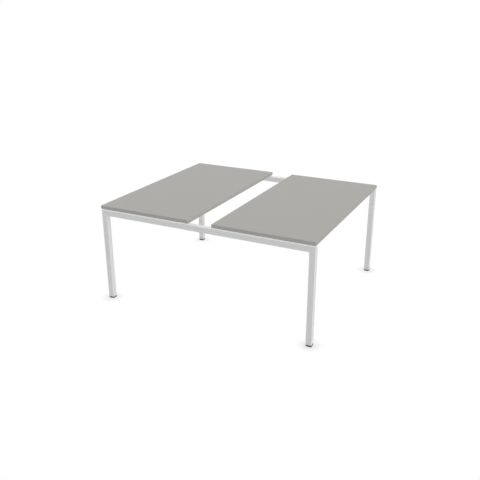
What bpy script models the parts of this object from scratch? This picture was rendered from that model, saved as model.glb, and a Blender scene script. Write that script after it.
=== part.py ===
"""Conference table: two tops with an open gap between them, on two portal frames of square tube.

Metres, +Z up. The origin is on the floor under the middle of the table, +X runs across both tops
from left to right, and +Y from the front frame to the rear one. Rails under the tops tie the two
frames together, and each leg stands on a levelling foot.
"""

import math

import bmesh
import bpy

# Tops
TABLE_HEIGHT = 0.736
TOP_WIDTH = 0.730
TOP_LENGTH = 1.400
TOP_THICKNESS = 0.025
TOP_GAP = 0.180
EDGE_THICKNESS = 0.002
EDGE_LAND = 0.0005

# Portal frames
TUBE_SIZE = 0.040
TUBE_WALL = 0.002
TUBE_CORNER = 0.0015
TUBE_INNER_CORNER = 0.0005
TOP_OVERHANG = 0.002
SHADOW_GAP = 0.008

# Rails under the tops, closed at the ends, and their welded end plates
RAIL_WIDTH = 0.020
RAIL_HEIGHT = 0.040
RAIL_WALL = 0.002
RAIL_INNER_CORNER = 0.001
RAIL_CAP = 0.003
RAIL_INSET = 0.145
PLATE_THICKNESS = 0.004
PLATE_HEIGHT = 0.030
PLATE_CORNER = 0.004

# Bolts through the end plates
BOLT_DIAMETER = 0.006
BOLT_PAST_WALL = 0.0074
BOLT_HEAD_LIP = 0.00225
BOLT_HEAD_HEIGHT = 0.0033
BOLT_HEAD_ROUNDING = 0.002
BOLT_HEAD_MARGIN = 0.005
BOLT_KEY = 0.004
BOLT_KEY_DEPTH = 0.002

# Screws from inside the rails up into the tops
SCREW_DIAMETER = 0.0045
SCREW_COVER = 0.0073
SCREW_HEAD_LIP = 0.00225
SCREW_HEAD_HEIGHT = 0.003
SCREW_KEY = 0.0035
SCREW_KEY_DEPTH = 0.0018
SCREW_END_INSET = 0.095
DRIVER_CLEARANCE = 0.002

# Levelling feet
FOOT_TRAVEL = 0.015
PLUG_FLANGE = 0.0015
PLUG_DEPTH = 0.024
PLUG_WALL = 0.0025
PLUG_BOSS_WALL = 0.004
FOOT_THREAD_DIAMETER = 0.010
FOOT_THREAD_SPARE = 0.005
FOOT_TIP_CHAMFER = 0.001
FOOT_COLLAR_LIP = 0.003
FOOT_COLLAR_HEIGHT = 0.0025
FOOT_KEY = 0.005
FOOT_KEY_DEPTH = 0.004
FOOT_NECK_WALL = 0.0011
FOOT_RIVET_LIP = 0.002
FOOT_RIVET_HEIGHT = 0.002
PAD_WEB = 0.003
PAD_MARGIN = 0.0005
PAD_CHAMFER = 0.0008
PAD_FLOOR_GAP = 0.001

# Clearances
FIT = 0.0003
SCREW_TIP_GAP = 0.001

# Facets. Twelve sides take a hexagon's corners and the middles of its flats
ROUND_SIDES = 12
HOLE_SIDES = 8
CORNER_STEPS = 3

# Sizes and places that follow from those above: the tops and the frames
EDGE_ROUNDING = EDGE_THICKNESS - EDGE_LAND
TOP_CENTRE_X = (TOP_GAP + TOP_WIDTH) / 2
TOP_UNDERSIDE = TABLE_HEIGHT - TOP_THICKNESS
BEAM_TOP = TOP_UNDERSIDE - SHADOW_GAP
BEAM_CENTRE_Z = BEAM_TOP - TUBE_SIZE / 2
LEG_X = TOP_GAP / 2 + TOP_WIDTH - TOP_OVERHANG - TUBE_SIZE / 2
LEG_Y = TOP_LENGTH / 2 - TOP_OVERHANG - TUBE_SIZE / 2
BEAM_INNER_Y = LEG_Y - TUBE_SIZE / 2
MITRE_SETBACK = FIT / math.sqrt(2)

# The rails and their fasteners
RAIL_TOP = TOP_UNDERSIDE - FIT
RAIL_CENTRE_Z = RAIL_TOP - RAIL_HEIGHT / 2
RAIL_CORNER = RAIL_INNER_CORNER + RAIL_WALL
PLATE_OUTER_Y = BEAM_INNER_Y - FIT
PLATE_INNER_Y = PLATE_OUTER_Y - PLATE_THICKNESS
RAIL_END_Y = PLATE_INNER_Y + PLATE_THICKNESS / 2
BOLT_HEAD_DIAMETER = BOLT_DIAMETER + 2 * BOLT_HEAD_LIP
BOLT_LENGTH = FIT + PLATE_THICKNESS + FIT + TUBE_WALL + BOLT_PAST_WALL
PLATE_EAR = BOLT_HEAD_DIAMETER + 2 * BOLT_HEAD_MARGIN
BOLT_OFFSET = (RAIL_WIDTH + PLATE_EAR) / 2
SCREW_SEAT_Z = RAIL_TOP - RAIL_WALL - FIT
SCREW_LENGTH = TABLE_HEIGHT - SCREW_COVER - SCREW_SEAT_Z
SCREW_HEAD_DIAMETER = SCREW_DIAMETER + 2 * SCREW_HEAD_LIP
DRIVER_HOLE_DIAMETER = SCREW_HEAD_DIAMETER + 2 * DRIVER_CLEARANCE

# The feet, from the floor up
FOOT_NECK_DIAMETER = FOOT_KEY / math.cos(math.radians(30)) + 2 * FOOT_NECK_WALL
FOOT_RIVET_DIAMETER = FOOT_NECK_DIAMETER + 2 * FOOT_RIVET_LIP
FOOT_COLLAR_DIAMETER = FOOT_THREAD_DIAMETER + 2 * FOOT_COLLAR_LIP
RIVET_TOP = PAD_FLOOR_GAP + FOOT_RIVET_HEIGHT
PAD_WEB_BOTTOM = RIVET_TOP + FIT
PAD_WEB_TOP = PAD_WEB_BOTTOM + PAD_WEB
COLLAR_BOTTOM = PAD_WEB_TOP + FIT
COLLAR_TOP = COLLAR_BOTTOM + FOOT_COLLAR_HEIGHT
PAD_TOP = COLLAR_TOP + FIT
PLUG_BOTTOM = PAD_TOP + FIT
PLUG_FLANGE_TOP = PLUG_BOTTOM + PLUG_FLANGE
PLUG_TOP = PLUG_FLANGE_TOP + PLUG_DEPTH
FOOT_THREAD_TOP = PLUG_TOP + FOOT_TRAVEL + FOOT_THREAD_SPARE
LEG_BOTTOM = PLUG_FLANGE_TOP + FIT

SIDES = {"left": -1, "right": 1}
ENDS = {"front": -1, "rear": 1}


def clear_scene():
    for old in list(bpy.data.objects):
        bpy.data.objects.remove(old, do_unlink=True)


def make_material(name, colour, roughness, metallic=0.0):
    material = bpy.data.materials.new(name)
    material.use_nodes = True
    shader = material.node_tree.nodes["Principled BSDF"]
    shader.inputs["Base Color"].default_value = (*colour, 1.0)
    shader.inputs["Roughness"].default_value = roughness
    shader.inputs["Metallic"].default_value = metallic
    return material


def make_empty(name, location, parent=None):
    empty = bpy.data.objects.new(name, None)
    empty.location = location
    empty.parent = parent
    bpy.context.scene.collection.objects.link(empty)
    return empty


def make_object(name, mesh, location=(0, 0, 0), rotation=(0, 0, 0), parent=None):
    piece = bpy.data.objects.new(name, mesh)
    piece.location = location
    piece.rotation_euler = rotation
    piece.parent = parent
    bpy.context.scene.collection.objects.link(piece)
    return piece


def make_mesh(name, build, material=None):
    """A mesh from a bmesh, with its normals out and its round faces smooth."""
    bmesh.ops.recalc_face_normals(build, faces=build.faces[:])
    mesh = bpy.data.meshes.new(name)
    build.to_mesh(mesh)
    build.free()
    mesh.shade_smooth()
    mesh.set_sharp_from_angle(angle=math.radians(35))
    if material:
        mesh.materials.append(material)
    return mesh


def rounded_rectangle(width, height, radius, steps=CORNER_STEPS):
    """Points round a rectangle, with one more than steps on each corner's arc."""
    points = []
    for quarter, (sx, sy) in enumerate(((1, 1), (-1, 1), (-1, -1), (1, -1))):
        centre_x = sx * (width / 2 - radius)
        centre_y = sy * (height / 2 - radius)
        for step in range(steps + 1):
            angle = math.radians(90) * (quarter + step / steps)
            points.append((centre_x + radius * math.cos(angle), centre_y + radius * math.sin(angle)))
    return points


def polygon(reaches):
    """Points round the origin, one at each reach. Half a side's turn faces them to a square's corners."""
    turn = math.tau / len(reaches)
    return [
        (reach * math.cos((i + 0.5) * turn), reach * math.sin((i + 0.5) * turn))
        for i, reach in enumerate(reaches)
    ]


def circle(diameter):
    return polygon([diameter / 2] * ROUND_SIDES)


def hexagon(across_flats):
    """A hexagon with as many points as a circle: its corners and the middles of its flats."""
    flat = across_flats / 2
    corner = flat / math.cos(math.radians(30))
    return polygon([corner, flat] * (ROUND_SIDES // 2))


def square(size, corner):
    """A square with as many points as a circle."""
    return rounded_rectangle(size, size, corner, ROUND_SIDES // 4 - 1)


def loft(rings, closed=False, build=None):
    """Faces between each ring of points and the next. Closed joins the last ring to the first."""
    build = build or bmesh.new()
    loops = [[build.verts.new(point) for point in ring] for ring in rings]
    pairs = list(zip(loops, loops[1:]))
    if closed:
        pairs.append((loops[-1], loops[0]))
    else:
        build.faces.new(loops[0])
        build.faces.new(loops[-1])
    for lower, upper in pairs:
        for i in range(len(lower)):
            j = (i + 1) % len(lower)
            build.faces.new((lower[i], lower[j], upper[j], upper[i]))
    return build


def level(outline, z):
    return [(x, y, z) for x, y in outline]


def tube(outer, inner, start, end, start_slope=0, end_slope=0):
    """A tube along Z. A slope of 1 or -1 mitres that end across local X."""

    def ring(outline, z, slope):
        return [(x, y, z + slope * x) for x, y in outline]

    rings = [
        ring(outer, start, start_slope),
        ring(outer, end, end_slope),
        ring(inner, end, end_slope),
        ring(inner, start, start_slope),
    ]
    return loft(rings, closed=True)


def drill(name, target, holes):
    """Cuts holes, each given as (start, end, diameter) along an axis of the table."""
    build = bmesh.new()
    for start, end, diameter in holes:
        outline = polygon([diameter / 2 / math.cos(math.pi / HOLE_SIDES)] * HOLE_SIDES)
        axis = max(range(3), key=lambda i: abs(end[i] - start[i]))
        rings = []
        for centre in (start, end):
            ring = []
            for u, v in outline:
                offset = [u, v]
                offset.insert(axis, 0)
                ring.append([c + o for c, o in zip(centre, offset)])
            rings.append(ring)
        loft(rings, build=build)
    combine(name, target, make_mesh(name, build), "DIFFERENCE")


def combine(name, target, mesh, operation):
    """Cuts a mesh, given in the table's own coordinates, out of the target, or joins it on."""
    helper = make_object(name, mesh)
    helper.hide_render = True
    helper.display_type = "WIRE"
    modifier = target.modifiers.new(name, "BOOLEAN")
    modifier.operation = operation
    modifier.object = helper


def add_tops(root, materials):
    for side, sign in SIDES.items():
        centre_x = sign * TOP_CENTRE_X
        add_board(f"{side}_top_board", centre_x, root, materials["laminate"])
        for edge, edge_sign in (("outer", sign), ("inner", -sign)):
            add_long_edge(f"{side}_top_edge_{edge}", centre_x, edge_sign, root, materials["edging"])
        for end, end_sign in ENDS.items():
            add_short_edge(f"{side}_top_edge_{end}", centre_x, end_sign, root, materials["edging"])


def add_board(name, centre_x, root, material):
    x = TOP_WIDTH / 2 - EDGE_THICKNESS - FIT
    y = TOP_LENGTH / 2 - EDGE_THICKNESS - FIT
    corners = [(x, y), (-x, y), (-x, -y), (x, -y)]
    build = loft([level(corners, 0), level(corners, TOP_THICKNESS)])
    board = make_object(
        name, make_mesh(name, build, material), (centre_x, 0, TOP_UNDERSIDE), parent=root
    )
    hole_top = SCREW_SEAT_Z + SCREW_LENGTH + SCREW_TIP_GAP
    holes = [
        ((x, y, SCREW_SEAT_Z), (x, y, hole_top), SCREW_DIAMETER + 2 * FIT)
        for x in rail_places(centre_x)
        for y in screw_places()
    ]
    drill(f"{name}_screw_holes", board, holes)


def edge_profile():
    """Section of an edge strip: flat on the board's side, rounded above and below on the other."""
    points = [(0, TOP_THICKNESS), (0, 0)]
    for centre_z, first in ((EDGE_ROUNDING, -90), (TOP_THICKNESS - EDGE_ROUNDING, 0)):
        for step in range(CORNER_STEPS + 1):
            angle = math.radians(first + 90 * step / CORNER_STEPS)
            out = EDGE_THICKNESS - EDGE_ROUNDING + EDGE_ROUNDING * math.cos(angle)
            points.append((out, centre_z + EDGE_ROUNDING * math.sin(angle)))
    return points


def edge_strip(name, length, material):
    """A strip along Y, centred, whose rounded side faces +X."""
    rings = [
        [(out, y, z) for out, z in edge_profile()] for y in (-length / 2, length / 2)
    ]
    return make_mesh(name, loft(rings), material)


def add_long_edge(name, centre_x, sign, root, material):
    """A strip over a top's whole length. It covers the ends of the short ones."""
    x = centre_x + sign * (TOP_WIDTH / 2 - EDGE_THICKNESS)
    turn = 0 if sign > 0 else math.pi
    strip = edge_strip(name, TOP_LENGTH, material)
    make_object(name, strip, (x, 0, TOP_UNDERSIDE), (0, 0, turn), root)


def add_short_edge(name, centre_x, sign, root, material):
    y = sign * (TOP_LENGTH / 2 - EDGE_THICKNESS)
    strip = edge_strip(name, TOP_WIDTH - 2 * (EDGE_THICKNESS + FIT), material)
    make_object(name, strip, (centre_x, y, TOP_UNDERSIDE), (0, 0, sign * math.pi / 2), root)


def frame_section():
    inner = TUBE_SIZE - 2 * TUBE_WALL
    return (
        rounded_rectangle(TUBE_SIZE, TUBE_SIZE, TUBE_CORNER),
        rounded_rectangle(inner, inner, TUBE_INNER_CORNER),
    )


def add_frames(root, materials):
    for end, end_sign in ENDS.items():
        add_beam(f"{end}_beam", end_sign, root, materials["frame"])
        for side, side_sign in SIDES.items():
            add_leg(f"{end}_{side}_leg", side_sign, end_sign, root, materials["frame"])


def add_leg(name, side_sign, end_sign, root, material):
    top = BEAM_CENTRE_Z - MITRE_SETBACK
    build = tube(*frame_section(), LEG_BOTTOM, top, end_slope=side_sign)
    place = (side_sign * LEG_X, end_sign * LEG_Y, 0)
    make_object(name, make_mesh(name, build, material), place, parent=root)


def add_beam(name, end_sign, root, material):
    """The beam lies along X, turned so that its local X points down."""
    reach = LEG_X - MITRE_SETBACK
    build = tube(*frame_section(), -reach, reach, start_slope=1, end_slope=-1)
    place = (0, end_sign * LEG_Y, BEAM_CENTRE_Z)
    turn = (0, math.pi / 2, 0)
    beam = make_object(name, make_mesh(name, build, material), place, turn, root)
    holes = [
        (
            (x, end_sign * (BEAM_INNER_Y - TUBE_WALL), BEAM_CENTRE_Z),
            (x, end_sign * (BEAM_INNER_Y + 2 * TUBE_WALL), BEAM_CENTRE_Z),
            BOLT_DIAMETER + 2 * FIT,
        )
        for sign in SIDES.values()
        for rail_x in rail_places(sign * TOP_CENTRE_X)
        for x in (rail_x - BOLT_OFFSET, rail_x + BOLT_OFFSET)
    ]
    drill(f"{name}_bolt_holes", beam, holes)


def rail_places(top_centre_x):
    reach = TOP_WIDTH / 2 - RAIL_INSET
    return top_centre_x - reach, top_centre_x + reach


def screw_places():
    reach = PLATE_INNER_Y - SCREW_END_INSET
    return -reach, 0, reach


def add_rails(root, materials):
    bolt = make_mesh("rail_bolt", loft(bolt_rings()), materials["zinc"])
    screw = make_mesh("top_screw", loft(screw_rings()), materials["zinc"])
    for side, sign in SIDES.items():
        inner_x, outer_x = sorted(rail_places(sign * TOP_CENTRE_X), key=abs)
        for place, x in (("inner", inner_x), ("outer", outer_x)):
            name = f"{side}_{place}_rail"
            add_rail(name, x, root, materials["frame"])
            add_rail_bolts(name, x, bolt, root)
            for spot, y in zip(("front", "middle", "rear"), screw_places()):
                make_object(f"{name}_top_screw_{spot}", screw, (x, y, SCREW_SEAT_Z), parent=root)


def add_rail(name, x, root, material):
    """A rectangular tube along Y, capped and welded at each end to a plate that bolts to the beam."""
    outer = rounded_rectangle(RAIL_WIDTH, RAIL_HEIGHT, RAIL_CORNER)
    build = along_y(outer, 0, 0, -RAIL_END_Y, RAIL_END_Y)
    rail = make_object(name, make_mesh(name, build, material), (x, 0, RAIL_CENTRE_Z), parent=root)
    combine(f"{name}_hollow", rail, rail_hollow(name, x), "DIFFERENCE")
    combine(f"{name}_end_plates", rail, end_plates(name, x), "UNION")
    holes = []
    for y in screw_places():
        for wall_z, diameter in (
            (RAIL_TOP - RAIL_WALL, SCREW_DIAMETER + 2 * FIT),
            (RAIL_TOP - RAIL_HEIGHT, DRIVER_HOLE_DIAMETER),
        ):
            holes.append(((x, y, wall_z - RAIL_WALL), (x, y, wall_z + 2 * RAIL_WALL), diameter))
    for sign in ENDS.values():
        for bolt_x in (x - BOLT_OFFSET, x + BOLT_OFFSET):
            holes.append(
                (
                    (bolt_x, sign * (PLATE_INNER_Y - PLATE_THICKNESS), BEAM_CENTRE_Z),
                    (bolt_x, sign * (PLATE_OUTER_Y + PLATE_THICKNESS), BEAM_CENTRE_Z),
                    BOLT_DIAMETER + 2 * FIT,
                )
            )
    drill(f"{name}_holes", rail, holes)


def along_y(outline, x, z, start, end, build=None):
    """A solid along Y, with the outline round (x, z) as its section."""
    rings = [[(x + u, y, z + v) for u, v in outline] for y in (start, end)]
    return loft(rings, build=build)


def rail_hollow(name, x):
    """The inside of a rail's tube, as far as its caps."""
    inner = rounded_rectangle(
        RAIL_WIDTH - 2 * RAIL_WALL, RAIL_HEIGHT - 2 * RAIL_WALL, RAIL_INNER_CORNER
    )
    reach = RAIL_END_Y - RAIL_CAP
    return make_mesh(f"{name}_hollow", along_y(inner, x, RAIL_CENTRE_Z, -reach, reach))


def end_plates(name, x):
    build = bmesh.new()
    outline = rounded_rectangle(RAIL_WIDTH + 2 * PLATE_EAR, PLATE_HEIGHT, PLATE_CORNER)
    for sign in ENDS.values():
        along_y(outline, x, BEAM_CENTRE_Z, sign * PLATE_INNER_Y, sign * PLATE_OUTER_Y, build)
    return make_mesh(f"{name}_end_plates", build)


def add_rail_bolts(name, x, bolt, root):
    """Bolts point away from the middle of the table, with their heads on the inside of the plates."""
    for end, sign in ENDS.items():
        for spot, side_sign in SIDES.items():
            place = (x + side_sign * BOLT_OFFSET, sign * (PLATE_INNER_Y - FIT), BEAM_CENTRE_Z)
            turn = (-sign * math.pi / 2, 0, 0)
            make_object(f"{name}_{end}_bolt_{spot}", bolt, place, turn, root)


def bolt_rings():
    """Button head below z = 0, with its key socket open at the bottom, and the shank above."""
    key = hexagon(BOLT_KEY)
    head = circle(BOLT_HEAD_DIAMETER)
    shank = circle(BOLT_DIAMETER)
    return [
        level(key, BOLT_KEY_DEPTH - BOLT_HEAD_HEIGHT),
        level(key, -BOLT_HEAD_HEIGHT),
        level(circle(BOLT_HEAD_DIAMETER - 2 * BOLT_HEAD_ROUNDING), -BOLT_HEAD_HEIGHT),
        level(head, BOLT_HEAD_ROUNDING - BOLT_HEAD_HEIGHT),
        level(head, 0),
        level(shank, 0),
        level(shank, BOLT_LENGTH),
    ]


def screw_rings():
    """Flat head below z = 0, with its key socket open at the bottom, and the shank above."""
    key = hexagon(SCREW_KEY)
    head = circle(SCREW_HEAD_DIAMETER)
    shank = circle(SCREW_DIAMETER)
    return [
        level(key, SCREW_KEY_DEPTH - SCREW_HEAD_HEIGHT),
        level(key, -SCREW_HEAD_HEIGHT),
        level(head, -SCREW_HEAD_HEIGHT),
        level(head, 0),
        level(shank, 0),
        level(shank, SCREW_LENGTH),
    ]


def add_feet(root, materials):
    plug = make_mesh("leg_plug", loft(plug_rings(), closed=True), materials["plastic"])
    pad = make_mesh("foot_pad", loft(pad_rings(), closed=True), materials["plastic"])
    screw = make_mesh("foot_screw", loft(foot_screw_rings()), materials["zinc"])
    for end, end_sign in ENDS.items():
        for side, side_sign in SIDES.items():
            name = f"{end}_{side}"
            foot = make_empty(f"{name}_foot", (side_sign * LEG_X, end_sign * LEG_Y, 0), root)
            make_object(f"{name}_leg_plug", plug, (side_sign * LEG_X, end_sign * LEG_Y, 0), parent=root)
            make_object(f"{name}_foot_pad", pad, parent=foot)
            make_object(f"{name}_foot_screw", screw, parent=foot)


def plug_rings():
    """A flange under the tube's end, a skirt inside the tube and a threaded boss in the middle."""
    skirt_size = TUBE_SIZE - 2 * TUBE_WALL - 2 * FIT
    hollow_size = skirt_size - 2 * PLUG_WALL
    flange = square(TUBE_SIZE, TUBE_CORNER)
    skirt = square(skirt_size, TUBE_INNER_CORNER)
    hollow = square(hollow_size, TUBE_INNER_CORNER)
    bore_diameter = FOOT_THREAD_DIAMETER + 2 * FIT
    bore = circle(bore_diameter)
    boss = circle(bore_diameter + 2 * PLUG_BOSS_WALL)
    floor = PLUG_FLANGE_TOP + PLUG_WALL
    return [
        level(bore, PLUG_BOTTOM),
        level(flange, PLUG_BOTTOM),
        level(flange, PLUG_FLANGE_TOP),
        level(skirt, PLUG_FLANGE_TOP),
        level(skirt, PLUG_TOP),
        level(hollow, PLUG_TOP),
        level(hollow, floor),
        level(boss, floor),
        level(boss, PLUG_TOP),
        level(bore, PLUG_TOP),
    ]


def pad_rings():
    """A square pad, recessed above for the screw's collar and below for its riveted end."""
    size = TUBE_SIZE - 2 * PAD_MARGIN
    body = square(size, TUBE_CORNER)
    face = square(size - 2 * PAD_CHAMFER, TUBE_CORNER)
    rivet = circle(FOOT_RIVET_DIAMETER + 2 * FIT)
    neck = circle(FOOT_NECK_DIAMETER + 2 * FIT)
    collar = circle(FOOT_COLLAR_DIAMETER + 2 * FIT)
    return [
        level(rivet, 0),
        level(face, 0),
        level(body, PAD_CHAMFER),
        level(body, PAD_TOP - PAD_CHAMFER),
        level(face, PAD_TOP),
        level(collar, PAD_TOP),
        level(collar, PAD_WEB_TOP),
        level(neck, PAD_WEB_TOP),
        level(neck, PAD_WEB_BOTTOM),
        level(rivet, PAD_WEB_BOTTOM),
    ]


def foot_screw_rings():
    """From its key socket at the bottom: riveted end, neck, collar and thread."""
    key = hexagon(FOOT_KEY)
    rivet = circle(FOOT_RIVET_DIAMETER)
    neck = circle(FOOT_NECK_DIAMETER)
    collar = circle(FOOT_COLLAR_DIAMETER)
    thread = circle(FOOT_THREAD_DIAMETER)
    tip = circle(FOOT_THREAD_DIAMETER - 2 * FOOT_TIP_CHAMFER)
    return [
        level(key, PAD_FLOOR_GAP + FOOT_KEY_DEPTH),
        level(key, PAD_FLOOR_GAP),
        level(rivet, PAD_FLOOR_GAP),
        level(rivet, RIVET_TOP),
        level(neck, RIVET_TOP),
        level(neck, COLLAR_BOTTOM),
        level(collar, COLLAR_BOTTOM),
        level(collar, COLLAR_TOP),
        level(thread, COLLAR_TOP),
        level(thread, FOOT_THREAD_TOP - FOOT_TIP_CHAMFER),
        level(tip, FOOT_THREAD_TOP),
    ]


def main():
    clear_scene()
    materials = {
        "laminate": make_material("grey_laminate", (0.428, 0.418, 0.397), 0.55),
        "edging": make_material("grey_edging", (0.410, 0.402, 0.384), 0.45),
        "frame": make_material("white_powder_coat", (0.74, 0.74, 0.735), 0.5),
        "plastic": make_material("dark_grey_plastic", (0.085, 0.085, 0.088), 0.6),
        "zinc": make_material("zinc_plated_steel", (0.60, 0.61, 0.63), 0.35, 1.0),
    }
    root = make_empty("table", (0, 0, 0))
    add_tops(root, materials)
    add_frames(root, materials)
    add_rails(root, materials)
    add_feet(root, materials)


main()
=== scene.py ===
"""Looks of the conference table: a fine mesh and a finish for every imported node, on a plain white stage.

Metres, +Z up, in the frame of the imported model. Each piece takes its place from the nodes it stands for.
"""

import math

import bmesh
import bpy
from mathutils import Matrix, Vector


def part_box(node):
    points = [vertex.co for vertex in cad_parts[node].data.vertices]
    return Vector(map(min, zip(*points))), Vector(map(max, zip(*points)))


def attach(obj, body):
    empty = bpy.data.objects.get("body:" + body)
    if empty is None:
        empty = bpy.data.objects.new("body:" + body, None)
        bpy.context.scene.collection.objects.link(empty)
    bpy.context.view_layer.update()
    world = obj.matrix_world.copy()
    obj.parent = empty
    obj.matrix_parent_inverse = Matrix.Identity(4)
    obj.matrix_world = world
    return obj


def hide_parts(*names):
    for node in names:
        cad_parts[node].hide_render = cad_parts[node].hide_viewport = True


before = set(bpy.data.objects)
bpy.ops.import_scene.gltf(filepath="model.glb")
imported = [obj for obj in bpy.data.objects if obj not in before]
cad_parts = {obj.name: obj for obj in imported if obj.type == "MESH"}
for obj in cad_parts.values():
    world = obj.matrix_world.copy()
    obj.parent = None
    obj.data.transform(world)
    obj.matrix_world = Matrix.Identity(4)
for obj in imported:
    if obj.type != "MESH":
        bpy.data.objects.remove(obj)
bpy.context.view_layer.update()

# Camera, solved from the straight edges of the tops, beams and legs
CAMERA_PLACE = (1.9550, -3.9606, 2.0816)
CAMERA_AZIMUTH = 26.876
CAMERA_ELEVATION = 21.211
CAMERA_ROLL = -0.161
CAMERA_LENS = 45.484
CAMERA_SENSOR = 36.0

# Light: what each source adds to a face turned to it, where 1 in all shows a colour as it is written
SKY_SHARE = 0.22
KEY_SHARE = 0.488
KEY_SPREAD = 70
KEY_FROM = (0, 0, 1)
SIDE_SHARE = 0.515
SIDE_SPREAD = 60
SIDE_FROM = (1.0, -0.43, 0.28)
FILL_SHARE = 0.30
FILL_SPREAD = 60
FILL_FROM = (-0.70, 1.0, 0.25)

# Floor, and the soft shade that it shows round the feet
FLOOR_ALBEDO = 0.80
FLOOR_SIZE = 60
HALO_REACH = 0.07
HALO_DEPTH = 0.36
HALO_POWER = 0.6
HALO_SAMPLES = 16

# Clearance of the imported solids, and the hairline that shows between a top and its edging
FIT = 0.0003
SEAM = 0.00006
MICRO_BEVEL = 0.00012

# Meshes: points nearer than this are one, carving leaves nothing finer than this,
# and folds sharper than this stay sharp
MERGE = 0.000001
SLIVER = 0.00001
SHARP_ANGLE = 40

# A cutter is as long as this many walls, so that it passes right through one
CUTTER_WALLS = 4

# Facets
CORNER_STEPS = 8
RIM_STEPS = 4
FASTENER_SIDES = 24
FOOT_SIDES = 48
HOLE_SIDES = 32
THREAD_STEPS = 8
WELD_SIDE_STEPS = 60
WELD_CORNER_STEPS = 12
WELD_UNDER_STEPS = 18

# Edging: the flat that its rounding leaves beside the board
EDGE_LAND = 0.0005

# Tubes
TUBE_WALL = 0.002
TUBE_CORNER = 0.0015
TUBE_INNER_CORNER = 0.0005
TUBE_DEBURR = 0.0003
MITRE_ROUNDING = 0.001
MITRE_STEPS = 5

# Rails, their plates and welds
RAIL_WIDTH = 0.020
RAIL_HEIGHT = 0.040
RAIL_CORNER = 0.003
RAIL_INNER_CORNER = 0.001
RAIL_CAP = 0.003
PLATE_THICKNESS = 0.004
PLATE_HEIGHT = 0.030
PLATE_CORNER = 0.004
PLATE_ROUNDING = 0.0005
WELD_LEG = 0.0022
WELD_SINK = 0.0003
WELD_RIPPLE = 0.10
WELD_PITCH = 0.0016
WELD_BULGE = 0.62
WELD_TOE = 0.1
WELD_TOP_INSET = 0.002
DRIVER_HOLE = 0.013

# Threads: flat share of a flank at its crest and at its root, and blunt share of a point
THREAD_LAND = 0.1
THREAD_TIP = 0.02

# Key sockets: point and depth of the drilling as shares of the key's, and how much wider the mouth is
SOCKET_POINT = 0.2
SOCKET_DRILL = 1.2
SOCKET_MOUTH = 3 * MICRO_BEVEL

# Bolts through the plates
BOLT_DIAMETER = 0.006
BOLT_PITCH = 0.001
BOLT_THREAD_DEPTH = 0.0005
BOLT_HEAD_DIAMETER = 0.0105
BOLT_HEAD_HEIGHT = 0.0033
BOLT_HEAD_RIM = 0.0006
BOLT_FACE_DIAMETER = 0.00576
BOLT_KEY = 0.004
BOLT_KEY_DEPTH = 0.002

# Screws up into the tops
SCREW_DIAMETER = 0.0045
SCREW_PITCH = 0.002
SCREW_THREAD_DEPTH = 0.0008
SCREW_POINT = 0.005
SCREW_HEAD_DIAMETER = 0.009
SCREW_HEAD_HEIGHT = 0.003
SCREW_HEAD_ROUNDING = 0.0006
SCREW_KEY = 0.0035
SCREW_KEY_DEPTH = 0.0018

# Feet
PLUG_FLANGE = 0.0015
PLUG_WALL = 0.0025
PLUG_BOSS_WALL = 0.004
PLUG_ROUNDING = 0.0003
FOOT_THREAD_DIAMETER = 0.010
FOOT_THREAD_PITCH = 0.0015
FOOT_THREAD_DEPTH = 0.0008
FOOT_TIP_CHAMFER = 0.001
FOOT_COLLAR_DIAMETER = 0.016
FOOT_COLLAR_HEIGHT = 0.0025
FOOT_COLLAR_ROUNDING = 0.0004
FOOT_KEY = 0.005
FOOT_KEY_DEPTH = 0.004
FOOT_KEY_DRILL = 1.15
FOOT_NECK_WALL = 0.0011
FOOT_RIVET_LIP = 0.002
FOOT_RIVET_HEIGHT = 0.002
FOOT_RIVET_ROUNDING = 0.0005
PAD_WEB = 0.003
PAD_ROUNDING = 0.0012

# Colours, and how strongly the surfaces mirror
LAMINATE_GREY = (0.431, 0.420, 0.396)
LAMINATE_SHEEN = 0.05
EDGING_GREY = (0.435, 0.425, 0.400)
EDGING_SHEEN = 0.02
COAT_WHITE = (0.770, 0.770, 0.770)
COAT_SHEEN = 0.25
PLASTIC_GREY = (0.085, 0.085, 0.088)
PLASTIC_SHEEN = 0.4
ZINC = (0.600, 0.610, 0.630)

SIDES = {"left": -1, "right": 1}
ENDS = {"front": -1, "rear": 1}


# Materials

def new_material(name, colour, roughness, sheen=0.5, metallic=0.0):
    material = bpy.data.materials.new(name)
    material.use_nodes = True
    tree = material.node_tree
    shader = tree.nodes["Principled BSDF"]
    shader.inputs["Base Color"].default_value = (*colour, 1)
    shader.inputs["Roughness"].default_value = roughness
    shader.inputs["Metallic"].default_value = metallic
    shader.inputs["Specular IOR Level"].default_value = sheen
    return material, tree, shader


def add_node(tree, kind, **inputs):
    node = tree.nodes.new(kind)
    for name, value in inputs.items():
        node.inputs[name.replace("_", " ")].default_value = value
    return node


def noise(tree, grain, detail=2.0, stretch=(1, 1, 1)):
    """Noise over the piece's own coordinates, with lumps about as large as the grain."""
    place = tree.nodes.new("ShaderNodeTexCoord")
    mapping = add_node(tree, "ShaderNodeMapping", Scale=stretch)
    texture = add_node(tree, "ShaderNodeTexNoise", Scale=1 / grain, Detail=detail)
    tree.links.new(place.outputs["Object"], mapping.inputs["Vector"])
    tree.links.new(mapping.outputs["Vector"], texture.inputs["Vector"])
    return texture.outputs[0]


def cells(tree, grain):
    """A random value for each cell of a broken pattern."""
    place = tree.nodes.new("ShaderNodeTexCoord")
    texture = add_node(tree, "ShaderNodeTexVoronoi", Scale=1 / grain)
    split = tree.nodes.new("ShaderNodeSeparateColor")
    tree.links.new(place.outputs["Object"], texture.inputs["Vector"])
    tree.links.new(texture.outputs["Color"], split.inputs["Color"])
    return split.outputs["Red"]


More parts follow.
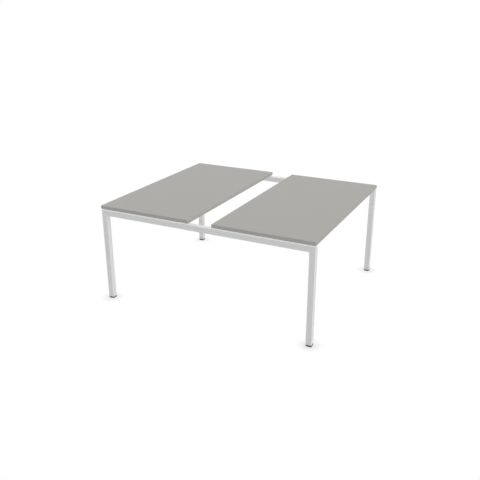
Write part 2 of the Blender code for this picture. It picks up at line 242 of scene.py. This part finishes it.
def vary_colour(tree, shader, value, colour, share):
    """Colour that runs from darker to lighter by the share, as the value runs from 0 to 1."""
    mix = tree.nodes.new("ShaderNodeMix")
    mix.data_type = "RGBA"
    mix.inputs["A"].default_value = (*[c * (1 - share) for c in colour], 1)
    mix.inputs["B"].default_value = (*[min(1, c * (1 + share)) for c in colour], 1)
    tree.links.new(value, mix.inputs["Factor"])
    tree.links.new(mix.outputs["Result"], shader.inputs["Base Color"])


def vary_roughness(tree, shader, value, low, high):
    span = add_node(tree, "ShaderNodeMapRange", To_Min=low, To_Max=high)
    tree.links.new(value, span.inputs["Value"])
    tree.links.new(span.outputs["Result"], shader.inputs["Roughness"])


def add_values(tree, first, second, second_share):
    total = tree.nodes.new("ShaderNodeMath")
    total.operation = "MULTIPLY_ADD"
    total.inputs[1].default_value = second_share
    tree.links.new(second, total.inputs[0])
    tree.links.new(first, total.inputs[2])
    return total.outputs[0]


def add_bump(tree, shader, value, height):
    bump = add_node(tree, "ShaderNodeBump", Strength=1.0, Distance=height)
    tree.links.new(value, bump.inputs["Height"])
    tree.links.new(bump.outputs["Normal"], shader.inputs["Normal"])


def laminate_material():
    """Melamine-faced board: an even warm grey with a fine pearled skin."""
    material, tree, shader = new_material(
        "grey_melamine", LAMINATE_GREY, roughness=0.55, sheen=LAMINATE_SHEEN
    )
    pearl = noise(tree, grain=0.0012, detail=3)
    vary_colour(tree, shader, pearl, LAMINATE_GREY, share=0.06)
    vary_roughness(tree, shader, noise(tree, grain=0.004), low=0.46, high=0.64)
    add_bump(tree, shader, pearl, height=0.00008)
    return material


def edging_material():
    """Moulded edge strip, smoother than the board, with faint lines along it from the scraper."""
    material, tree, shader = new_material(
        "grey_edging", EDGING_GREY, roughness=0.45, sheen=EDGING_SHEEN
    )
    lines = noise(tree, grain=0.0008, stretch=(0.03, 0.03, 1))
    vary_colour(tree, shader, noise(tree, grain=0.05), EDGING_GREY, share=0.015)
    vary_roughness(tree, shader, lines, low=0.38, high=0.52)
    add_bump(tree, shader, lines, height=0.00001)
    return material


def coat_material():
    """Satin powder coat with the slight orange peel that it dries to."""
    material, tree, shader = new_material(
        "white_powder_coat", COAT_WHITE, roughness=0.42, sheen=COAT_SHEEN
    )
    peel = noise(tree, grain=0.0022, detail=1)
    speck = noise(tree, grain=0.0005, detail=0)
    vary_colour(tree, shader, noise(tree, grain=0.03), COAT_WHITE, share=0.012)
    vary_roughness(tree, shader, noise(tree, grain=0.006), low=0.36, high=0.50)
    add_bump(tree, shader, add_values(tree, peel, speck, second_share=0.15), height=0.00006)
    return material


def plastic_material():
    """Dark moulded plastic with an eroded, slightly sparkling skin."""
    material, tree, shader = new_material(
        "dark_grey_plastic", PLASTIC_GREY, roughness=0.6, sheen=PLASTIC_SHEEN
    )
    skin = noise(tree, grain=0.0005, detail=2)
    vary_colour(tree, shader, noise(tree, grain=0.006), PLASTIC_GREY, share=0.10)
    vary_roughness(tree, shader, skin, low=0.48, high=0.72)
    add_bump(tree, shader, skin, height=0.00004)
    return material


def zinc_material():
    """Zinc-plated steel: bright, with faint spangles and fine rolling marks."""
    material, tree, shader = new_material("zinc_plated_steel", ZINC, roughness=0.32, metallic=1.0)
    marks = noise(tree, grain=0.0004, stretch=(1, 1, 0.2))
    vary_colour(tree, shader, cells(tree, grain=0.0025), ZINC, share=0.06)
    vary_roughness(tree, shader, marks, low=0.24, high=0.42)
    add_bump(tree, shader, marks, height=0.000008)
    return material


# Outlines and meshes

def circle(diameter, sides):
    radius = diameter / 2
    turn = math.tau / sides
    return [(radius * math.cos(i * turn), radius * math.sin(i * turn)) for i in range(sides)]


def hexagon(across_flats, sides):
    """A hexagon with as many points as a circle, so that a loft can join them."""
    points = []
    for i in range(sides):
        angle = i * math.tau / sides
        from_flat = angle % math.radians(60) - math.radians(30)
        reach = across_flats / 2 / math.cos(from_flat)
        points.append((reach * math.cos(angle), reach * math.sin(angle)))
    return points


def rounded_rectangle(width, height, radius, steps=CORNER_STEPS):
    points = []
    for quarter, (sx, sy) in enumerate(((1, 1), (-1, 1), (-1, -1), (1, -1))):
        for step in range(steps + 1):
            angle = math.radians(90) * (quarter + step / steps)
            x = sx * (width / 2 - radius) + radius * math.cos(angle)
            y = sy * (height / 2 - radius) + radius * math.sin(angle)
            points.append((x, y))
    return points


def rounded_square(size, radius, inset=0.0):
    """A square with as many points as a foot's circles, drawn in evenly by the inset."""
    return rounded_rectangle(size - 2 * inset, size - 2 * inset, radius - inset, FOOT_SIDES // 4 - 1)


def level(outline, z):
    return [(x, y, z) for x, y in outline]


def loft(rings, closed=False, build=None):
    """Faces between each ring of points and the next. Closed joins the last ring to the first."""
    build = build or bmesh.new()
    loops = [[build.verts.new(point) for point in ring] for ring in rings]
    pairs = list(zip(loops, loops[1:]))
    if closed:
        pairs.append((loops[-1], loops[0]))
    else:
        build.faces.new(loops[0])
        build.faces.new(loops[-1])
    for lower, upper in pairs:
        for i in range(len(lower)):
            j = (i + 1) % len(lower)
            build.faces.new((lower[i], lower[j], upper[j], upper[i]))
    return build


def quarter_round(radius, steps=RIM_STEPS):
    """(inset, height) along a quarter circle, from a flat face's rim up to the wall beside it."""
    for step in range(steps + 1):
        angle = math.radians(90) * step / steps
        yield radius * (1 - math.sin(angle)), radius * (1 - math.cos(angle))


def rounded_block(outline, bottom, top, radius, steps=RIM_STEPS):
    """Rings of an upright block with rounded rims. The outline takes how far it is drawn in."""
    rims = list(quarter_round(radius, steps))
    rings = [level(outline(inset), bottom + rise) for inset, rise in rims]
    return rings + [level(outline(inset), top - rise) for inset, rise in reversed(rims)]


def make_mesh(name, build, material=None):
    bmesh.ops.remove_doubles(build, verts=build.verts[:], dist=MERGE)
    bmesh.ops.recalc_face_normals(build, faces=build.faces[:])
    mesh = bpy.data.meshes.new(name)
    build.to_mesh(mesh)
    build.free()
    if material:
        mesh.materials.append(material)
    return mesh


def make_object(name, mesh, place=Matrix.Identity(4)):
    piece = bpy.data.objects.new(name, mesh)
    piece.matrix_world = place
    bpy.context.scene.collection.objects.link(piece)
    return piece


def finish_piece(piece, nodes, body="table"):
    """Smooths the round faces, and has the piece stand for the nodes and move with the body."""
    piece.data.shade_smooth()
    piece.data.set_sharp_from_angle(angle=math.radians(SHARP_ANGLE))
    normals = piece.modifiers.new("flat_faces_stay_flat", "WEIGHTED_NORMAL")
    normals.keep_sharp = True
    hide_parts(*nodes)
    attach(piece, body)


def carve(piece, build, operation):
    """Cuts a mesh out of the piece, or joins it on, for good."""
    helper = make_object("helper", make_mesh("helper", build))
    modifier = piece.modifiers.new("carve", "BOOLEAN")
    modifier.operation = operation
    modifier.object = helper
    depsgraph = bpy.context.evaluated_depsgraph_get()
    piece.data = bpy.data.meshes.new_from_object(piece.evaluated_get(depsgraph))
    piece.modifiers.clear()
    bpy.data.objects.remove(helper)
    drop_slivers(piece.data)


def drop_slivers(mesh):
    """Takes out the faces without width and the points on only two edges that carving leaves."""
    build = bmesh.new()
    build.from_mesh(mesh)
    bmesh.ops.dissolve_degenerate(build, dist=SLIVER, edges=build.edges[:])
    spare = [vert for vert in build.verts if len(vert.link_edges) == 2]
    bmesh.ops.dissolve_verts(build, verts=spare)
    build.to_mesh(mesh)
    build.free()


def add_hole(build, centre, axis, length, diameter):
    """A round cutter, centred and along the axis."""
    turn = Vector(axis).to_track_quat("Z", "Y").to_matrix()
    rings = [
        [Vector(centre) + turn @ Vector(point) for point in level(circle(diameter, HOLE_SIDES), z)]
        for z in (-length / 2, length / 2)
    ]
    loft(rings, build=build)


def socket_rings(key, depth, drill, bottom, sides, mouth=SOCKET_MOUTH):
    """Rings of a key socket that is open below, from its drilled point down to its bevelled mouth."""
    flats = hexagon(key, sides)
    point = circle(key * SOCKET_POINT, sides)
    rings = [level(point, bottom + depth * drill), level(flats, bottom + depth)]
    if mouth:
        rings += [level(flats, bottom + MICRO_BEVEL), level(hexagon(key + mouth, sides), bottom)]
    else:
        rings.append(level(flats, bottom))
    return rings


def thread_rings(start, end, diameter, pitch, depth, sides, point=0.0):
    """Rings of a right-handed thread up Z, which runs in from its start and may end in a point."""
    rings = []
    for step in range(round((end - start) / pitch * THREAD_STEPS) + 1):
        z = start + step * pitch / THREAD_STEPS
        run_in = min(1, (z - start) / pitch)
        taper = min(1, (end - z) / point) if point else 1
        ring = []
        for i in range(sides):
            valley = abs(2 * ((z / pitch - i / sides) % 1) - 1)
            flank = (valley - THREAD_LAND) / (1 - 2 * THREAD_LAND)
            cut = depth * min(1, max(0, flank)) * run_in
            reach = max((diameter / 2 - cut) * taper, diameter * THREAD_TIP)
            angle = i * math.tau / sides
            ring.append((reach * math.cos(angle), reach * math.sin(angle), z))
        rings.append(ring)
    return rings


# Tops

def add_tops(laminate, edging):
    for side, sign in SIDES.items():
        add_board(side, laminate)
        outward = {
            "front": Vector((0, -1, 0)),
            "rear": Vector((0, 1, 0)),
            "inner": Vector((-sign, 0, 0)),
            "outer": Vector((sign, 0, 0)),
        }
        for edge, direction in outward.items():
            add_edge_strip(f"{side}_top_edge_{edge}", direction, edge in ("inner", "outer"), edging)


def let_light_past(piece):
    """Even light from all sides: what lies under the tops is lit as what stands clear of them."""
    piece.visible_shadow = False
    piece.visible_diffuse = False


def add_board(side, material):
    node = f"{side}_top_board"
    low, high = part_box(node)
    grow = FIT - SEAM
    width = high.x - low.x + 2 * grow
    length = high.y - low.y + 2 * grow
    centre_x = (low.x + high.x) / 2

    def outline(inset):
        x, y = width / 2 - inset, length / 2 - inset
        return [(centre_x + x, y), (centre_x - x, y), (centre_x - x, -y), (centre_x + x, -y)]

    rings = [
        level(outline(MICRO_BEVEL), low.z),
        level(outline(0), low.z + MICRO_BEVEL),
        level(outline(0), high.z - MICRO_BEVEL),
        level(outline(MICRO_BEVEL), high.z),
    ]
    board = make_object(f"{node}_finished", make_mesh(node, loft(rings), material))
    holes = bmesh.new()
    for screw in (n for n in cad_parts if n.startswith(side) and "_top_screw_" in n):
        screw_low, screw_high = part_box(screw)
        x, y, _ = (screw_low + screw_high) / 2
        depth = screw_high.z - low.z
        add_hole(holes, (x, y, low.z), (0, 0, 1), 2 * (depth + FIT), SCREW_DIAMETER + 2 * FIT)
    carve(board, holes, "DIFFERENCE")
    let_light_past(board)
    finish_piece(board, [node])


def edge_profile(thickness, height):
    """Section of a strip: bevelled a hair where it meets the board, rounded above and below outside."""
    radius = thickness - EDGE_LAND
    points = [(MICRO_BEVEL, height), (0, height - MICRO_BEVEL), (0, MICRO_BEVEL), (MICRO_BEVEL, 0)]
    for centre_z, first in ((radius, -90), (height - radius, 0)):
        for step in range(CORNER_STEPS + 1):
            angle = math.radians(first + 90 * step / CORNER_STEPS)
            out = thickness - radius + radius * math.cos(angle)
            points.append((out, centre_z + radius * math.sin(angle)))
    return points


def add_edge_strip(node, outward, covers_corners, material):
    """A long strip covers the ends of the short ones, and is rounded off at the top's corners."""
    low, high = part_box(node)
    size = high - low
    along = Vector((outward.y, -outward.x, 0))
    thickness = abs(size.dot(outward))
    radius = thickness - EDGE_LAND
    half = abs(size.dot(along)) / 2
    foot = (low + high) / 2 - outward * thickness / 2
    foot.z = low.z
    if covers_corners:
        rims = quarter_round(radius, CORNER_STEPS)
        ends = [(half - rise, 1 - inset / thickness) for inset, rise in rims]
    else:
        ends = [(half + FIT - SEAM, 1)]
    stations = [(-reach, share) for reach, share in ends]
    stations += [(reach, share) for reach, share in reversed(ends)]
    profile = edge_profile(thickness, size.z)
    rings = [
        [foot + outward * out * share + along * reach + Vector((0, 0, z)) for out, z in profile]
        for reach, share in stations
    ]
    strip = make_object(f"{node}_finished", make_mesh(node, loft(rings), material))
    let_light_past(strip)
    finish_piece(strip, [node])


# Portal frames

def tube_outlines(width, height, corner, inner_corner):
    """A tube's outside, its deburred end and its bore."""
    insets = ((0, corner), (TUBE_DEBURR, corner - TUBE_DEBURR), (TUBE_WALL, inner_corner))
    return [rounded_rectangle(width - 2 * inset, height - 2 * inset, radius) for inset, radius in insets]


def add_portals(coat):
    for end, end_sign in ENDS.items():
        add_portal(end, end_sign, coat)


def add_portal(end, end_sign, material):
    """Two legs and a beam, welded and ground flush, so that the coat runs on across the corners."""
    nodes = [f"{end}_beam", f"{end}_left_leg", f"{end}_right_leg"]
    beam_low, beam_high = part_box(nodes[0])
    leg_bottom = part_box(nodes[1])[0].z
    size = beam_high.z - beam_low.z
    leg_x = beam_high.x - size / 2
    leg_y = (beam_low.y + beam_high.y) / 2
    beam_z = (beam_low.z + beam_high.z) / 2

    def foot(outline, side_sign, rise):
        return [(side_sign * (leg_x + u), leg_y + v, leg_bottom + rise) for u, v in outline]

    def mitre(outline, side_sign, step):
        """A step round the corner, which is rounded a little outside and filled a little inside."""
        angle = math.radians(90) * step / MITRE_STEPS
        ring = []
        for u, v in outline:
            radius = max(0, MITRE_ROUNDING - (size / 2 - abs(u)))
            x = leg_x + u - radius * (1 - math.cos(angle))
            z = beam_z + u - radius * (1 - math.sin(angle))
            ring.append((side_sign * x, leg_y + v, z))
        return ring

    outer, rim, bore = tube_outlines(size, size, TUBE_CORNER, TUBE_INNER_CORNER)
    steps = range(MITRE_STEPS + 1)
    rings = [foot(rim, -1, 0), foot(outer, -1, TUBE_DEBURR)]
    rings += [mitre(outer, -1, step) for step in steps]
    rings += [mitre(outer, 1, step) for step in reversed(steps)]
    rings += [foot(outer, 1, TUBE_DEBURR), foot(rim, 1, 0), foot(bore, 1, 0)]
    rings += [mitre(bore, 1, 0), mitre(bore, -1, 0), foot(bore, -1, 0)]
    name = f"{end}_portal_frame"
    portal = make_object(name, make_mesh(name, loft(rings, closed=True), material))

    holes = bmesh.new()
    inner_y = leg_y - end_sign * size / 2
    for bolt in (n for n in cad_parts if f"_rail_{end}_bolt_" in n):
        bolt_low, bolt_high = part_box(bolt)
        place = ((bolt_low.x + bolt_high.x) / 2, inner_y, beam_z)
        add_hole(holes, place, (0, 1, 0), CUTTER_WALLS * TUBE_WALL, BOLT_DIAMETER + 2 * FIT)
    carve(portal, holes, "DIFFERENCE")
    finish_piece(portal, nodes)


# Rails and their fasteners

def add_rails(coat, zinc):
    bolt = make_mesh("bolt", loft(bolt_rings()), zinc)
    screw = make_mesh("screw", loft(screw_rings()), zinc)
    for side in SIDES:
        for place in ("inner", "outer"):
            add_rail(f"{side}_{place}_rail", coat)
    for node in list(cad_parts):
        if "_bolt_" in node:
            add_bolt(node, bolt)
        elif "_top_screw_" in node:
            add_screw(node, screw)


def add_rail(node, material):
    """A capped tube along Y with a plate welded on at each end."""
    low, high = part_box(node)
    beam_low, beam_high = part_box("front_beam")
    x = (low.x + high.x) / 2
    tube_z = high.z - RAIL_HEIGHT / 2
    plate_z = (beam_low.z + beam_high.z) / 2
    plate_y = high.y - PLATE_THICKNESS
    outer, rim, bore = tube_outlines(RAIL_WIDTH, RAIL_HEIGHT, RAIL_CORNER, RAIL_INNER_CORNER)

    def section(outline, y):
        return [(x + u, y, tube_z + w) for u, w in outline]

    reach = plate_y + PLATE_THICKNESS / 2
    shoulder = reach - TUBE_DEBURR
    rings = [section(rim, -reach), section(outer, -shoulder)]
    rings += [section(outer, shoulder), section(rim, reach)]
    rail = make_object(f"{node}_finished", make_mesh(node, loft(rings), material))
    cap = reach - RAIL_CAP
    carve(rail, loft([section(bore, -cap), section(bore, cap)]), "DIFFERENCE")

    for sign in ENDS.values():
        carve(rail, end_plate(x, sign * plate_y, sign, plate_z, high.x - low.x), "UNION")
        carve(rail, weld_bead(x, sign * plate_y, -sign, tube_z, plate_z + PLATE_HEIGHT / 2), "UNION")
    carve(rail, rail_holes(node, plate_y, plate_z, high.z), "DIFFERENCE")
    finish_piece(rail, [node])


def rail_holes(node, plate_y, plate_z, rail_top):
    """Cutters for the plates' bolts, and for the top's screws and the driver's way in below them."""
    holes = bmesh.new()
    for fastener in (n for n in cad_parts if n.startswith(f"{node}_")):
        low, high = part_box(fastener)
        x, y, _ = (low + high) / 2
        if "_bolt_" in fastener:
            place = (x, math.copysign(plate_y, y), plate_z)
            add_hole(holes, place, (0, 1, 0), CUTTER_WALLS * PLATE_THICKNESS, BOLT_DIAMETER + 2 * FIT)
        else:
            walls = ((rail_top, SCREW_DIAMETER + 2 * FIT), (rail_top - RAIL_HEIGHT, DRIVER_HOLE))
            for z, diameter in walls:
                add_hole(holes, (x, y, z), (0, 0, 1), CUTTER_WALLS * TUBE_WALL, diameter)
    return holes


def end_plate(x, y, sign, z, width):
    """A plate with rounded rims, from y on in the direction of the sign."""
    rings = []
    rims = list(quarter_round(PLATE_ROUNDING))
    for inset, rise in rims + [(inset, PLATE_THICKNESS - rise) for inset, rise in reversed(rims)]:
        outline = rounded_rectangle(width - 2 * inset, PLATE_HEIGHT - 2 * inset, PLATE_CORNER - inset)
        rings.append([(x + u, y + sign * rise, z + w) for u, w in outline])
    return loft(rings)


def weld_path(top_rise):
    """(point, outward) down one side of a rail's tube, under it and up the other, about its middle."""
    half_width = RAIL_WIDTH / 2
    straight = half_width - RAIL_CORNER
    bottom = -RAIL_HEIGHT / 2
    drop = bottom + RAIL_CORNER - top_rise
    side = [(half_width, top_rise + drop * i / WELD_SIDE_STEPS, 1, 0) for i in range(WELD_SIDE_STEPS)]
    arc = []
    for i in range(WELD_CORNER_STEPS):
        angle = math.radians(90) * i / WELD_CORNER_STEPS
        arc.append((
            straight + RAIL_CORNER * math.cos(angle),
            bottom + RAIL_CORNER - RAIL_CORNER * math.sin(angle),
            math.cos(angle),
            -math.sin(angle),
        ))
    under = [(straight * (1 - i / WELD_UNDER_STEPS), bottom, 0, -1) for i in range(WELD_UNDER_STEPS)]
    right = side + arc + under
    left = [(-u, w, -nu, nw) for u, w, nu, nw in reversed(right)]
    return right + [(0, bottom, 0, -1)] + left


def weld_bead(x, y, inward, z, plate_top):
    """A rippled fillet between a rail's tube and its plate."""
    path = weld_path(plate_top - WELD_TOP_INSET - z)
    rings = []
    run = 0.0
    before = path[0]
    for u, w, nu, nw in path:
        run += math.hypot(u - before[0], w - before[1])
        before = (u, w)
        leg = WELD_LEG * (1 + WELD_RIPPLE * math.sin(run / WELD_PITCH * math.tau))
        bulge = leg * WELD_BULGE
        toe = leg * WELD_TOE
        section = (
            (-WELD_SINK, -WELD_SINK),
            (leg, -WELD_SINK),
            (leg, toe),
            (bulge, bulge),
            (toe, leg),
            (-WELD_SINK, leg),
        )
        rings.append([(x + u + nu * out, y + inward * rise, z + w + nw * out) for out, rise in section])
    return loft(rings)


def bolt_rings():
    """Button head below z = 0 with its key socket open below, and the thread above."""
    sides = FASTENER_SIDES
    low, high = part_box("left_inner_rail_front_bolt_left")
    length = high.y - low.y - BOLT_HEAD_HEIGHT
    rings = socket_rings(BOLT_KEY, BOLT_KEY_DEPTH, SOCKET_DRILL, -BOLT_HEAD_HEIGHT, sides)
    crown_width = BOLT_HEAD_DIAMETER - BOLT_FACE_DIAMETER
    crown_height = BOLT_HEAD_HEIGHT - BOLT_HEAD_RIM
    for step in range(CORNER_STEPS + 1):
        angle = math.radians(90) * step / CORNER_STEPS
        diameter = BOLT_HEAD_DIAMETER - crown_width * (1 - math.sin(angle))
        rings.append(level(circle(diameter, sides), -BOLT_HEAD_RIM - crown_height * math.cos(angle)))
    rings.append(level(circle(BOLT_HEAD_DIAMETER, sides), 0))
    rings += thread_rings(0, length, BOLT_DIAMETER, BOLT_PITCH, BOLT_THREAD_DEPTH, sides)
    return rings


def screw_rings():
    """Flat head below z = 0 with its key socket open below, and a pointed thread above."""
    sides = FASTENER_SIDES
    low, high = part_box("left_inner_rail_top_screw_front")
    length = high.z - low.z - SCREW_HEAD_HEIGHT
    rings = socket_rings(SCREW_KEY, SCREW_KEY_DEPTH, SOCKET_DRILL, -SCREW_HEAD_HEIGHT, sides, mouth=0)
    for inset, rise in quarter_round(SCREW_HEAD_ROUNDING):
        rings.append(level(circle(SCREW_HEAD_DIAMETER - 2 * inset, sides), rise - SCREW_HEAD_HEIGHT))
    rings.append(level(circle(SCREW_HEAD_DIAMETER, sides), 0))
    rings += thread_rings(0, length, SCREW_DIAMETER, SCREW_PITCH, SCREW_THREAD_DEPTH, sides, SCREW_POINT)
    return rings


def add_bolt(node, mesh):
    low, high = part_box(node)
    x, _, z = (low + high) / 2
    if "_front_" in node:
        y, turn = high.y - BOLT_HEAD_HEIGHT, math.pi / 2
    else:
        y, turn = low.y + BOLT_HEAD_HEIGHT, -math.pi / 2
    place = Matrix.Translation((x, y, z)) @ Matrix.Rotation(turn, 4, "X")
    finish_piece(make_object(f"{node}_finished", mesh, place), [node])


def add_screw(node, mesh):
    low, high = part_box(node)
    x, y, _ = (low + high) / 2
    place = Matrix.Translation((x, y, low.z + SCREW_HEAD_HEIGHT))
    finish_piece(make_object(f"{node}_finished", mesh, place), [node])


# Feet

def add_feet(plastic, zinc):
    plug = make_mesh("leg_plug", loft(plug_rings(), closed=True), plastic)
    pad = make_mesh("foot_pad", loft(pad_rings(), closed=True), plastic)
    screw = make_mesh("foot_screw", loft(foot_screw_rings()), zinc)
    for end in ENDS:
        for side in SIDES:
            foot = f"{end}_{side}"
            low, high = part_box(f"{foot}_foot_screw")
            x, y, _ = (low + high) / 2
            place = Matrix.Translation((x, y, 0))
            parts = (
                (f"{foot}_leg_plug", plug, "foot_plastic", "table"),
                (f"{foot}_foot_pad", pad, "foot_plastic", f"{foot}_pad"),
                (f"{foot}_foot_screw", screw, "zinc_steel", f"{foot}_screw"),
            )
            for node, mesh, slot, body in parts:
                finish_piece(make_object(f"{node}_finished", mesh, place), [node], body)


def plug_rings():
    """A flange under the tube's end, a skirt inside the tube and a threaded boss in the middle."""
    low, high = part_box("front_left_leg_plug")
    size = high.x - low.x
    skirt_size = size - 2 * TUBE_WALL - 2 * FIT
    floor = low.z + PLUG_FLANGE + PLUG_WALL
    bore_diameter = FOOT_THREAD_DIAMETER + 2 * FIT
    bore = circle(bore_diameter, FOOT_SIDES)
    boss = circle(bore_diameter + 2 * PLUG_BOSS_WALL, FOOT_SIDES)
    skirt = rounded_square(skirt_size, TUBE_INNER_CORNER)
    lead_in = rounded_square(skirt_size, TUBE_INNER_CORNER, PLUG_ROUNDING)
    hollow = rounded_square(skirt_size - 2 * PLUG_WALL, TUBE_INNER_CORNER)
    flange_top = low.z + PLUG_FLANGE

    def flange(inset):
        return rounded_square(size, TUBE_CORNER, inset)

    rings = [level(bore, low.z)]
    rings += rounded_block(flange, low.z, flange_top, PLUG_ROUNDING)
    rings += [
        level(skirt, flange_top),
        level(skirt, high.z - PLUG_ROUNDING),
        level(lead_in, high.z),
        level(hollow, high.z),
        level(hollow, floor),
        level(boss, floor),
        level(boss, high.z),
        level(bore, high.z),
    ]
    return rings


def foot_levels():
    """Diameters and heights that the pad and its screw share."""
    low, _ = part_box("front_left_foot_screw")
    neck = FOOT_KEY / math.cos(math.radians(30)) + 2 * FOOT_NECK_WALL
    rivet_top = low.z + FOOT_RIVET_HEIGHT
    web_top = rivet_top + FIT + PAD_WEB
    return neck, neck + 2 * FOOT_RIVET_LIP, rivet_top, web_top


def pad_rings():
    """A square pad with rounded edges, recessed above for the screw's collar and below for its rivet."""
    low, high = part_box("front_left_foot_pad")
    size = high.x - low.x
    neck_diameter, rivet_diameter, rivet_top, web_top = foot_levels()
    rivet = circle(rivet_diameter + 2 * FIT, FOOT_SIDES)
    neck = circle(neck_diameter + 2 * FIT, FOOT_SIDES)
    collar = circle(FOOT_COLLAR_DIAMETER + 2 * FIT, FOOT_SIDES)

    def block(inset):
        return rounded_square(size, TUBE_CORNER, inset)

    rings = [level(rivet, low.z)]
    rings += rounded_block(block, low.z, high.z, PAD_ROUNDING, CORNER_STEPS)
    rings += [
        level(collar, high.z),
        level(collar, web_top),
        level(neck, web_top),
        level(neck, rivet_top + FIT),
        level(rivet, rivet_top + FIT),
    ]
    return rings


def foot_screw_rings():
    """From its key socket at the bottom: riveted end, neck, collar and thread."""
    sides = FOOT_SIDES
    low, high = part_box("front_left_foot_screw")
    neck_diameter, rivet_diameter, rivet_top, web_top = foot_levels()
    collar_bottom = web_top + FIT
    collar_top = collar_bottom + FOOT_COLLAR_HEIGHT
    thread_end = high.z - FOOT_TIP_CHAMFER
    rivet = circle(rivet_diameter, sides)
    neck = circle(neck_diameter, sides)

    def collar(inset):
        return circle(FOOT_COLLAR_DIAMETER - 2 * inset, sides)

    rings = socket_rings(FOOT_KEY, FOOT_KEY_DEPTH, FOOT_KEY_DRILL, low.z, sides)
    for inset, rise in quarter_round(FOOT_RIVET_ROUNDING):
        rings.append(level(circle(rivet_diameter - 2 * inset, sides), low.z + rise))
    rings += [level(rivet, rivet_top), level(neck, rivet_top), level(neck, collar_bottom)]
    rings += rounded_block(collar, collar_bottom, collar_top, FOOT_COLLAR_ROUNDING)
    rings += thread_rings(
        collar_top, thread_end, FOOT_THREAD_DIAMETER, FOOT_THREAD_PITCH, FOOT_THREAD_DEPTH, sides
    )
    rings.append(level(circle(FOOT_THREAD_DIAMETER - 2 * FOOT_TIP_CHAMFER, sides), high.z))
    return rings


# Stage, light and camera

def seen_directly(tree):
    """1 for the camera's own rays and for what glossy and clear surfaces show, and 0 for other light."""
    path = tree.nodes.new("ShaderNodeLightPath")
    value = path.outputs["Is Camera Ray"]
    for other in ("Is Glossy Ray", "Is Transmission Ray"):
        either = tree.nodes.new("ShaderNodeMath")
        either.operation = "MAXIMUM"
        tree.links.new(value, either.inputs[0])
        tree.links.new(path.outputs[other], either.inputs[1])
        value = either.outputs[0]
    return value


def mix_by_ray(tree, light, seen, output):
    """One shader lights the object, and the other is what is seen directly."""
    mix = tree.nodes.new("ShaderNodeMixShader")
    tree.links.new(seen_directly(tree), mix.inputs["Fac"])
    tree.links.new(light.outputs[0], mix.inputs[1])
    tree.links.new(seen.outputs[0], mix.inputs[2])
    tree.links.new(mix.outputs[0], output.inputs["Surface"])


def add_world():
    world = bpy.data.worlds.new("white_studio")
    bpy.context.scene.world = world
    world.use_nodes = True
    tree = world.node_tree
    tree.nodes.clear()
    sky = add_node(tree, "ShaderNodeBackground", Color=(1, 1, 1, 1), Strength=SKY_SHARE)
    backdrop = add_node(tree, "ShaderNodeBackground", Color=(1, 1, 1, 1), Strength=1.0)
    mix_by_ray(tree, sky, backdrop, tree.nodes.new("ShaderNodeOutputWorld"))


def add_floor():
    """A wide level sheet under the feet, which is no part of the table."""
    half = FLOOR_SIZE / 2
    corners = ((-half, -half, 0), (half, -half, 0), (half, half, 0), (-half, half, 0))
    build = bmesh.new()
    build.faces.new([build.verts.new(corner) for corner in corners])
    floor = make_object("floor", make_mesh("floor", build, floor_material()))


def floor_material():
    """White where it is seen, softly shaded close round the feet, and pale where it lights the object."""
    material = bpy.data.materials.new("white_floor")
    material.use_nodes = True
    tree = material.node_tree
    tree.nodes.clear()
    light = add_node(tree, "ShaderNodeBsdfDiffuse", Color=(FLOOR_ALBEDO, FLOOR_ALBEDO, FLOOR_ALBEDO, 1))
    seen = add_node(tree, "ShaderNodeEmission", Strength=1.0)
    shade = add_node(tree, "ShaderNodeAmbientOcclusion", Distance=HALO_REACH)
    shade.samples = HALO_SAMPLES
    hidden = tree.nodes.new("ShaderNodeMath")
    hidden.operation = "SUBTRACT"
    hidden.inputs[0].default_value = 1
    softened = tree.nodes.new("ShaderNodeMath")
    softened.operation = "POWER"
    softened.inputs[1].default_value = HALO_POWER
    span = add_node(tree, "ShaderNodeMapRange", To_Min=1.0, To_Max=1 - HALO_DEPTH)
    tree.links.new(shade.outputs["AO"], hidden.inputs[1])
    tree.links.new(hidden.outputs[0], softened.inputs[0])
    tree.links.new(softened.outputs[0], span.inputs["Value"])
    tree.links.new(span.outputs["Result"], seen.inputs["Color"])
    mix_by_ray(tree, light, seen, tree.nodes.new("ShaderNodeOutputMaterial"))
    return material


def add_sun(name, share, spread, come_from):
    """A broad, even lamp. Its share is what it adds to a face that looks straight at it."""
    lamp = bpy.data.lights.new(name, "SUN")
    lamp.energy = share * math.pi
    lamp.angle = math.radians(spread)
    sun = bpy.data.objects.new(name, lamp)
    sun.rotation_mode = "QUATERNION"
    sun.rotation_quaternion = Vector(come_from).to_track_quat("Z", "Y")
    bpy.context.scene.collection.objects.link(sun)
    return sun


def add_lights():
    add_sun("key_light", KEY_SHARE, KEY_SPREAD, KEY_FROM)
    add_sun("side_light", SIDE_SHARE, SIDE_SPREAD, SIDE_FROM)
    fill = add_sun("fill_light", FILL_SHARE, FILL_SPREAD, FILL_FROM)
    # The fill leaves no shine
    fill.visible_glossy = False


def add_camera():
    data = bpy.data.cameras.new("camera")
    data.lens = CAMERA_LENS
    data.sensor_width = CAMERA_SENSOR
    camera = bpy.data.objects.new("camera", data)
    camera.matrix_world = (
        Matrix.Translation(CAMERA_PLACE)
        @ Matrix.Rotation(math.radians(CAMERA_AZIMUTH), 4, "Z")
        @ Matrix.Rotation(math.radians(90 - CAMERA_ELEVATION), 4, "X")
        @ Matrix.Rotation(math.radians(CAMERA_ROLL), 4, "Z")
    )
    bpy.context.scene.collection.objects.link(camera)
    bpy.context.scene.camera = camera


def main():
    coat = coat_material()
    plastic = plastic_material()
    zinc = zinc_material()
    add_camera()
    add_tops(laminate_material(), edging_material())
    add_portals(coat)
    add_rails(coat, zinc)
    add_feet(plastic, zinc)
    add_floor()
    add_world()
    add_lights()
    bpy.context.scene.view_settings.view_transform = "Standard"


main()
